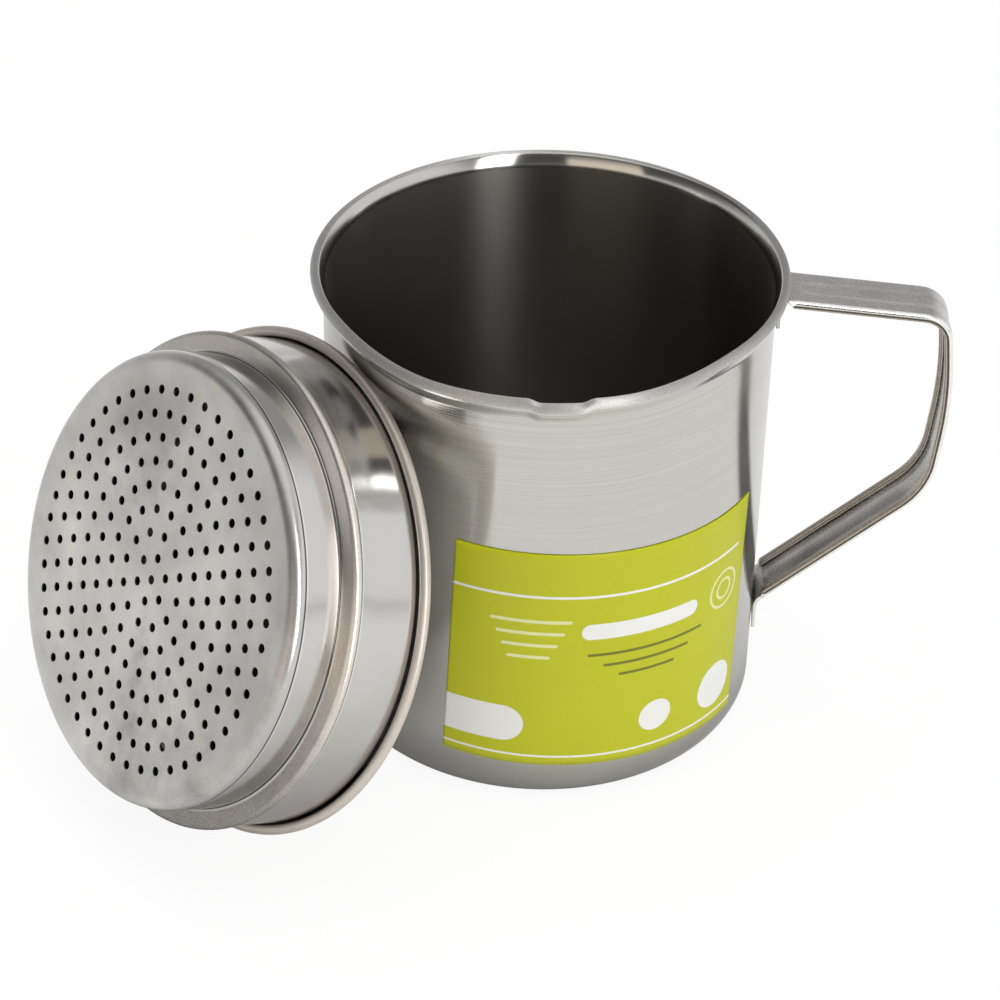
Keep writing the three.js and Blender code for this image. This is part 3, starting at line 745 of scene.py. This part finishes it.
# Inner points lie within one of the inner bounds' radii and above its height: over the disc, in the collar or
# in the ring.
def makeBasket():
    centres = holeCentres()
    hole = basket["hole"]
    soft = basket["holeFillet"]
    sheet = basket["sheet"]
    discEdge = basket["collar"] - basket["edge"] - basket["edgeBorder"]
    holeEdge = hole + soft + basket["border"]
    flat, faces = discFaces(centres, discEdge, holeEdge)
    under = np.column_stack((flat, np.zeros(len(flat))))
    parts = [(under, [face[::-1] for face in faces]), (under + (0, 0, sheet), faces)]
    parts.append(revolve(basketProfile(discEdge), basket["segments"]))
    bent = soft * basket["holeBend"]
    upper = [(holeEdge, sheet), (hole + soft, sheet), (hole + bent, sheet - bent), (hole, sheet - soft)]
    lower = [(radius, sheet - height) for radius, height in upper[::-1]]
    holePoints, holeFaces = revolve(upper + lower, basket["holeSides"])
    parts += [(holePoints + (*centre, 0.0), holeFaces) for centre in centres]
    points, faces = weldParts(parts)
    radius = np.hypot(points[:, 0], points[:, 1])
    height = points[:, 2]
    disc = 1 - easeShare((height - 0.7) / 1.6)
    bead = easeShare((radius - 52.0) / 0.2) * (1 - easeShare((height - 14.6) / 0.2))
    # Inner surfaces, which the material darkens as painted shade.
    shadedInner = reduce(np.logical_or, [(radius < side) & (height > low) for side, low in basket["innerBounds"]])
    attributes = {"disc": disc, "bead": bead, "shadedInner": shadedInner}
    return makePiece("strainer_shell", points, faces, strainerPlace(), attributes)


basketTints = {"cool": (0.70, 0.69, 0.675, 1), "warm": (0.70, 0.675, 0.645, 1), "bead": (0.94, 0.885, 0.825, 1)}


# The disc is clouded satin with darker sectors of painted reflection and painted shade. The walls are bright,
# with a painted dark line and a painted glint at each step, and the ledge and bead between them are matt and
# warm. Painted shade darkens the inner surfaces, the bead at its upper and lower ends and the walls at their
# lower side.
def basketSteel():
    material, tree, shader = startMaterial("strainer_steel_satin")
    local = readAttribute(tree, "local", 1)
    x, y, z = separate(local)
    disc = readAttribute(tree, "disc")
    bead = readAttribute(tree, "bead")
    shadedInner = readAttribute(tree, "shadedInner")
    radius = (x * x + y * y) ** 0.5
    spun = noise(combine(radius * 2.2, x * 0.03, y * 0.03), 1.0, 3.0, 0.6)
    cloud = noise(local, 0.045, 3.0, 0.55)
    blotch = noise(local, 0.13, 4.0, 0.6)
    speck = noise(local, 2.4, 3.0, 0.7)
    # upward measures a fixed direction across the disc, which the painted sectors follow.
    upward = (x * 0.459 + y * 0.888 + blotch.swing(14.0)) / (radius + 4.0)
    spokes = radius.rise(4.0, 18.0)
    paintedSector = upward.rise(0.72, 1.0) * spokes * radius.fall(36.0, 48.0)
    lower = (-upward).rise(0.75, 1.0) * spokes

    def line(place, half):
        return z.band(place, half, half + 0.12)

    collar = radius.rise(51.2, 51.45)
    belowLedge = radius.fall(52.1, 52.4)
    ring = radius.rise(55.5, 55.65)
    # Painted shade and painted highlight: a dark line and a glint at each step of the wall.
    paintedCrease = (line(3.05, 0.14) + line(12.1, 0.16) * belowLedge) * collar + line(14.85, 0.16) * ring
    paintedGlint = (line(3.5, 0.10) + line(11.65, 0.10)) * collar * belowLedge + line(15.3, 0.10) * ring
    soft = cloud.swing(0.80) + blotch.swing(0.46) + speck.rise(0.35, 0.65).swing(0.12)
    # Painted reflection and painted shade: a darker sector towards upward, and darker towards the lower side
    # and away from the hinge.
    soft = soft - paintedSector * 0.36 - lower * 0.22 - (-x).rise(20.0, 50.0) * 0.22
    # Painted shade: the bead darker at its upper and lower ends and the walls at their lower side.
    ends = abs(upward).rise(0.45, 0.95) * bead * 0.38 + (-upward).rise(0.1, 0.7) * (1.0 - disc) * 0.28
    tone = 0.97 + disc * soft + (1.0 - disc) * cloud.swing(0.10) + bead * speck.swing(0.55) - ends
    # Painted shade darkens the inner surfaces.
    tone = tone * (1.0 - paintedCrease.least(1.0) * 0.82) * (1.0 - shadedInner * 0.72) + paintedGlint * 0.25
    warm = mixColour(blotch.rise(0.40, 0.62) * disc, basketTints["cool"], basketTints["warm"])
    matt = mixColour(bead, warm, basketTints["bead"])
    rough = (0.16 + disc * 0.24 + disc * blotch.swing(0.24) + bead * 0.20).most(0.05)
    height = disc * (spun * 0.4 + cloud * 1.4 + speck * 0.30) + (1.0 - disc) * blotch * 0.5 + bead * speck
    finishSteel(shader, matt, tone, rough, bump(height, 0.22, 0.12))
    return material


# Lid

lid = {
    "rollAxis": 57.2, "rollHeight": 29.8, "rollRadius": 1.25, "under": 30.5, "top": 31.0, "foot": 48.5,
    "step": 44.0, "panel": 33.5, "sheet": 0.5, "segments": 288, "panelRadii": (0, 15, 30),
    "underRadii": (52.0, 55.0), "overRadii": (56.0, 52.0), "rollFrom": 55.8, "rollFade": 0.5,
}


# Flange, rolled edge and raised panel in one sheet: z eases from the flange to the panel over the step.
def makeLid():
    shares = np.linspace(0, 1, 13)
    stepRadii = lid["foot"] + (lid["step"] - lid["foot"]) * shares
    rise = (lid["panel"] - lid["top"]) * easeShare(shares)
    meet = 180 - math.degrees(math.asin((lid["under"] - lid["rollHeight"]) / lid["rollRadius"]))
    inner = [(radius, lid["panel"] - lid["sheet"]) for radius in lid["panelRadii"]]
    inner += list(zip(stepRadii, lid["under"] + rise))[::-1]
    inner += [(radius, lid["under"]) for radius in lid["underRadii"]]
    profile = inner + arcPoints(lid["rollAxis"], lid["rollHeight"], lid["rollRadius"], meet, 450, steps=26)
    profile += [(radius, lid["top"]) for radius in lid["overRadii"]] + list(zip(stepRadii, lid["top"] + rise))
    profile += [(radius, lid["panel"]) for radius in lid["panelRadii"][::-1]]
    points, faces = revolve(profile, lid["segments"])
    roll = easeShare((np.hypot(points[:, 0], points[:, 1]) - lid["rollFrom"]) / lid["rollFade"])
    # The inner side, which the material darkens as painted shade.
    shadedInner = np.arange(len(points)) < 1 + lid["segments"] * (len(inner) - 1)
    return makePiece("lid_shell", points, faces, lidPlace(), {"roll": roll, "shadedInner": shadedInner})


lidTints = {"sheet": (0.68, 0.66, 0.63, 1), "roll": (0.78, 0.72, 0.66, 1)}


# Finely turned steel with a matt and warmer rolled edge. The whole sheet is toned darker as painted shade,
# which also darkens its reflection in the mug, and the side toward the strainer is darker still in painted
# shade.
def lidSteel():
    material, tree, shader = startMaterial("lid_steel_satin")
    local = readAttribute(tree, "local", 1)
    x, y, _ = separate(local)
    roll = readAttribute(tree, "roll")
    shadedInner = readAttribute(tree, "shadedInner")
    radius = (x * x + y * y) ** 0.5
    spun = noise(combine(radius * 2.0, x * 0.03, y * 0.03), 1.0, 3.0, 0.6)
    cloud = noise(local, 0.05, 3.0, 0.55)
    speck = noise(local, 2.6, 3.0, 0.7)
    # A low base tone: painted shade over the whole sheet.
    tone = 0.80 + cloud.swing(0.10) + spun.swing(0.05) + roll * (speck.swing(0.35) + 0.15)
    matt = mixColour(roll, lidTints["sheet"], lidTints["roll"])
    rough = (0.20 + roll * 0.30 + cloud.swing(0.08)).most(0.05)
    height = spun * (1.0 - roll) * 0.5 + speck * roll * 0.6 + cloud
    # Painted shade on the side toward the strainer.
    finishSteel(shader, matt, tone * (1.0 - shadedInner * 0.6), rough, bump(height, 0.18, 0.08))
    return material


# Hinge

hinge = {
    "radius": 62.3, "height": 30.6, "pin": 1.25, "head": 1.9, "headThick": 0.6, "bore": 1.55, "boreSides": 32,
    "knuckle": 2.3, "leaf": 11.4, "thick": 1.0, "gap": 0.3, "tab": 11.5, "tabAngle": 20.0, "tabCorner": 3.0,
    "leafCorner": 2.0, "earIn": 6.0, "earOut": 7.0, "earRadius": 2.6, "earSink": 0.5, "earFoot": 2.7,
    "plateIn": 56.0, "plateOut": 57.0, "plateFoot": 19.4, "plateTop": 27.4, "plateMargin": 1.0,
    "earStart": -30.0, "cornerAngles": (90, 62, 42, 22, 0), "leafSoft": 0.16, "bracketSoft": 0.15,
    "softFrom": 40.0, "boreShare": 0.97,
}


# A plate cut to outlines in local X and Z with a round bore at the pin, through a list of (Y, outline). Its two
# end outlines are equal. A face counts as clear of the bore where its middle lies beyond boreShare of the
# bore's radius, so slivers at the edge of the bore stay.
def plateWithBore(levels):
    outline = levels[0][1]
    first = len(outline)
    centre = (hinge["radius"], hinge["height"])
    bore = circlePoints(hinge["bore"], hinge["boreSides"]) + centre
    flat = np.vstack((outline, bore))
    count = len(flat)
    kept = []
    for face in fillFlat(flat, loopEdges(0, first) + loopEdges(first, len(bore))):
        middle = flat[list(face)].mean(axis=0)
        if isInside(middle, outline) and math.dist(middle, centre) > hinge["bore"] * hinge["boreShare"]:
            kept.append(face)
    ends = [np.insert(flat, 1, height, axis=1) for height, _ in (levels[0], levels[-1])]
    between = [np.insert(np.array(shape), 1, height, axis=1) for height, shape in levels[1:-1]]
    ring = np.arange(first)
    loops = [ring] + [2 * count + i * first + ring for i in range(len(between))] + [ring + count]
    hole = np.arange(first, count)
    faces = kept + [tuple(i + count for i in face[::-1]) for face in kept]
    for here, there in list(zip(loops, loops[1:])) + [(hole, hole + count)]:
        faces += np.column_stack((here, there, np.roll(there, -1), np.roll(here, -1))).tolist()
    return np.vstack(ends + between), faces


def softenEdges(piece, width):
    bevel = piece.modifiers.new("soft", "BEVEL")
    bevel.width = width * millimetre
    bevel.segments = 2
    bevel.limit_method = "ANGLE"
    bevel.angle_limit = math.radians(hinge["softFrom"])
    return piece


def fixNormals(piece):
    work = bmesh.new()
    work.from_mesh(piece.data)
    bmesh.ops.recalc_face_normals(work, faces=work.faces)
    work.to_mesh(piece.data)
    work.free()
    return piece


# The leaf lies on the lid, rolls round the pin and ends in the thumb tab. Both ends draw back by
# radius - sqrt(radius^2 - past^2) at their round corners.
def makeLeaf():
    under = lid["top"] + hinge["gap"]
    top = under + hinge["thick"]
    edge = hinge["leaf"] / 2
    inner = math.hypot(lid["foot"], edge) + hinge["gap"]
    centre = (hinge["radius"], hinge["height"])
    low = 180 - math.degrees(math.asin((under - centre[1]) / hinge["knuckle"]))
    high = 180 - math.degrees(math.asin((top - centre[1]) / hinge["knuckle"]))
    half = math.degrees(math.asin(hinge["thick"] / 2 / hinge["knuckle"]))
    out = np.array((math.cos(math.radians(hinge["tabAngle"])), math.sin(math.radians(hinge["tabAngle"]))))
    lower = arcPoints(*centre, hinge["knuckle"], low, 360 + hinge["tabAngle"] - half, steps=26)
    upper = arcPoints(*centre, hinge["knuckle"], hinge["tabAngle"] + half, high, steps=12)

    def drawBack(side, radius):
        past = max(abs(side) - edge + radius, 0.0)
        return radius - math.sqrt(max(radius ** 2 - past ** 2, 0.0))

    wide = hinge["tabCorner"]
    sides = [edge - wide + wide * math.sin(math.radians(angle)) for angle in hinge["cornerAngles"]]
    levels = []
    for side in [-s for s in sides] + sides[::-1]:
        reach = out * (hinge["tab"] - drawBack(side, wide))
        start = inner + drawBack(side, hinge["leafCorner"])
        tabEnd = [tuple(lower[-1] + reach), tuple(upper[0] + reach)]
        levels.append((side, [(start, under)] + lower + tabEnd + upper + [(start, top)]))
    points, faces = plateWithBore(levels)
    piece = makePiece("hinge_leaf_tab", points, faces, lidPlace())
    return softenEdges(fixNormals(piece), hinge["leafSoft"])


# A curved base plate on the strainer's ring with an ear at each side of the knuckle.
def makeBracket():
    spread = math.degrees(math.asin((hinge["earOut"] + hinge["plateMargin"]) / hinge["plateIn"]))
    rings = []
    for angle in np.radians(np.linspace(-spread, spread, 17)):
        radii = np.array([hinge[key] for key in ("plateOut", "plateOut", "plateIn", "plateIn")])
        heights = [hinge[key] for key in ("plateFoot", "plateTop", "plateTop", "plateFoot")]
        rings.append(np.column_stack((radii * math.cos(angle), radii * math.sin(angle), heights)))
    parts = [sweepRings(rings)]
    root = math.sqrt(hinge["plateOut"] ** 2 - hinge["earOut"] ** 2) - hinge["earSink"]
    outline = [(root, hinge["plateFoot"])]
    outline += arcPoints(hinge["radius"], hinge["height"], hinge["earRadius"], hinge["earStart"], 180, steps=22)
    outline += [(root + hinge["earFoot"], hinge["plateTop"]), (root, hinge["plateTop"])]
    for low, high in ((hinge["earIn"], hinge["earOut"]), (-hinge["earOut"], -hinge["earIn"])):
        parts.append(plateWithBore([(low, outline), (high, outline)]))
    points, faces = stackParts(parts)
    piece = makePiece("hinge_bracket_plate", points, faces, strainerPlace())
    return softenEdges(fixNormals(piece), hinge["bracketSoft"])


# A shank with domed heads, turned about Z and laid along local Y.
def makePin():
    shank = hinge["earOut"] + hinge["gap"]
    dome = [(hinge["head"] * math.cos(angle), shank + hinge["headThick"] * math.sin(angle))
            for angle in np.linspace(0, math.pi / 2, 9)[:-1]]
    upper = [(hinge["pin"], 0), (hinge["pin"], shank)] + dome + [(0, shank + hinge["headThick"])]
    lower = [(radius, -height) for radius, height in upper[::-1]]
    points, faces = revolve(lower[:-1] + upper, 40)
    laid = np.column_stack((points[:, 0] + hinge["radius"], -points[:, 2], points[:, 1] + hinge["height"]))
    return fixNormals(makePiece("hinge_pin_rivet", laid, faces, strainerPlace()))


def hingeSteel():
    material, tree, shader = startMaterial("hinge_steel_satin")
    local = readAttribute(tree, "local", 1)
    x, y, z = separate(local)
    grain = noise(combine(x * 0.4, y * 0.15, z * 0.4), 4.0, 3.0, 0.6)
    cloud = noise(local, 0.3, 3.0)
    tone = 0.95 + cloud.swing(0.18) + grain.swing(0.10)
    rough = (0.28 + grain.swing(0.12)).most(0.06)
    finishSteel(shader, (0.64, 0.63, 0.61), tone, rough, bump(grain + cloud * 0.8, 0.15, 0.06))
    return material


def dress(piece, material, body, node):
    piece.data.materials.append(material)
    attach(piece, body)
    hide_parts(node)
    print("piece", piece.name, len(piece.data.polygons), "faces")


dress(makeMug(), mugSteel(), "mug", "mug_body")
dress(makeHandle(), handleSteel(), "mug", "handle")
dress(makeLabel(), labelFilm(), "mug", "label")
dress(makeBasket(), basketSteel(), "strainer", "strainer_basket")
dress(makeLid(), lidSteel(), "lid", "lid")
hingeLook = hingeSteel()
dress(makeLeaf(), hingeLook, "lid", "lid_hinge_leaf")
dress(makeBracket(), hingeLook, "strainer", "hinge_bracket")
dress(makePin(), hingeLook, "strainer", "hinge_pin")


# Studio

floorReach = 4000.0
floorHeight = -0.1


# A wide pale floor. The camera sees it as nearly plain white, and mirrors see a little plain grey in it.
def addFloor():
    mesh = bpy.data.meshes.new("studio_floor")
    corners = np.array([(-1, -1), (1, -1), (1, 1), (-1, 1)]) * floorReach
    mesh.from_pydata((np.insert(corners, 2, floorHeight, axis=1) * millimetre).tolist(), [], [(0, 1, 2, 3)])
    floor = bpy.data.objects.new("studio_floor", mesh)
    bpy.context.scene.collection.objects.link(floor)
    material, tree, _ = startMaterial("studio_floor_paint")
    tree.nodes.clear()
    direct, glossy, clear = [
        addNode(tree, "ShaderNodeLightPath", output=name)
        for name in ("Is Camera Ray", "Is Glossy Ray", "Is Transmission Ray")]
    seen = (direct * 0.92).most(glossy.most(clear) * 0.22)
    matt = addNode(tree, "ShaderNodeBsdfDiffuse", {"Color": (0.88, 0.88, 0.87, 1)})
    tint = mixColour(direct, (0.25, 0.25, 0.25, 1), (1, 1, 1, 1))
    glow = addNode(tree, "ShaderNodeEmission", {"Color": tint, "Strength": 1.0})
    both = addNode(tree, "ShaderNodeMixShader", {0: seen, 1: matt, 2: glow})
    feed(tree.nodes.new("ShaderNodeOutputMaterial"), "Surface", both)
    mesh.materials.append(material)


# Bands of azimuth about a middle, each full to its first half width and gone at its second.
skyBands = {"gap": (-84.0, 12.5, 14.5), "panel": (-61.5, 6.5, 11.0), "leftWall": (-117.0, 18.0, 21.0)}


# The sky has a white horizon under a dim band and a pale top, with a dark gap behind the camera, a tall white
# panel to its right, a warm wall to its left, a broad pale wall on the right side and a dimmer one at the back.
def addWorld():
    world = bpy.data.worlds.new("studio")
    bpy.context.scene.world = world
    world.use_nodes = True
    tree = world.node_tree
    tree.nodes.clear()
    x, y, z = separate(addNode(tree, "ShaderNodeTexCoord"))
    mirrored = addNode(tree, "ShaderNodeLightPath", output="Is Glossy Ray")
    azimuth = y.maths("ARCTAN2", x) * (180 / math.pi)
    gap = azimuth.band(*skyBands["gap"])
    horizon = z.fall(0.06, 0.35) * (1.0 - gap * 0.85)
    panel = azimuth.band(*skyBands["panel"]) * z.fall(0.80, 0.86) * z.rise(0.0, 0.02)
    side = x.rise(0.35, 0.85) * z.fall(0.80, 0.95)
    back = y.rise(0.20, 0.60) * z.fall(0.75, 0.90)
    leftWall = azimuth.band(*skyBands["leftWall"]) * z.fall(0.42, 0.60)
    glow = (0.08 + horizon * 0.70).most(side * 0.88).most(back * 0.34).most(leftWall * 0.95)
    glow = glow.most(panel * (1.8 + mirrored * 3.0)) + z.rise(0.72, 0.92) * 0.75
    tint = mixColour(leftWall, (1, 1, 1, 1), (1.0, 0.90, 0.76, 1))
    sky = addNode(tree, "ShaderNodeBackground", {"Color": tint, "Strength": glow})
    feed(tree.nodes.new("ShaderNodeOutputWorld"), "Surface", sky)


# A lamp in metres and watts that lights the scene but isn't mirrored in it.
def addLamp(name, place, aim, width, depth, power):
    data = bpy.data.lights.new(name, "AREA")
    data.shape = "RECTANGLE"
    data.size = width
    data.size_y = depth
    data.energy = power
    lamp = bpy.data.objects.new(name, data)
    lamp.location = place
    lamp.rotation_euler = (Vector(aim) - Vector(place)).to_track_quat("-Z", "Y").to_euler()
    lamp.visible_glossy = False
    bpy.context.scene.collection.objects.link(lamp)


addFloor()
addWorld()
addLamp("overhead_fill", (0.0, 0.0, 1.6), (0, 0, 0.05), 1.6, 1.2, 17.0)
addLamp("right_strip", (0.50, -0.98, 1.10), (0, 0, 0.10), 0.45, 1.0, 4.5)
bpy.context.scene.view_settings.view_transform = "Standard"
print("studio ready")
